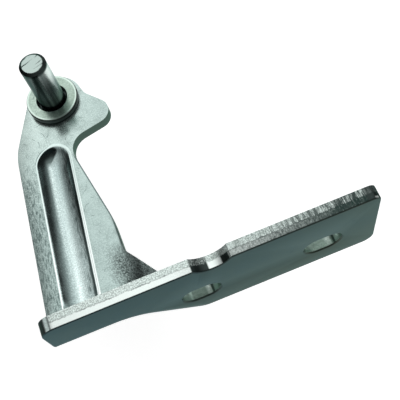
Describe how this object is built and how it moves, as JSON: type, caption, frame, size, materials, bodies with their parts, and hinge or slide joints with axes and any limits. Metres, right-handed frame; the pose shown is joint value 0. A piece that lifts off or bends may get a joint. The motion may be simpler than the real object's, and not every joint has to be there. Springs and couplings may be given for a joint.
{
  "type": "fridge door hinge",
  "caption": "Folded steel hinge bracket for a fridge door: slotted flange, ribbed arm with a stop nose, riveted pivot pin and loose washer.",
  "frame": {"origin": "on the pivot pin's axis, at the arm's pin side where the washer lies", "axes": "+Z along the pin towards its free tip, +X along the flange, and the flange's mounting face looks along -Y"},
  "size_m": [0.0931, 0.0826, 0.0358],
  "materials": {
    "bracket_zinc": "bright zinc plate over grained sheet, sheared edges",
    "pin_zinc": "turned and zinc plated",
    "washer_zinc": "tumbled and zinc plated"
  },
  "bodies": {
    "root": {"bracket": "bracket_zinc", "hinge_pin": "pin_zinc", "washer": "washer_zinc"}
  },
  "joints": []
}
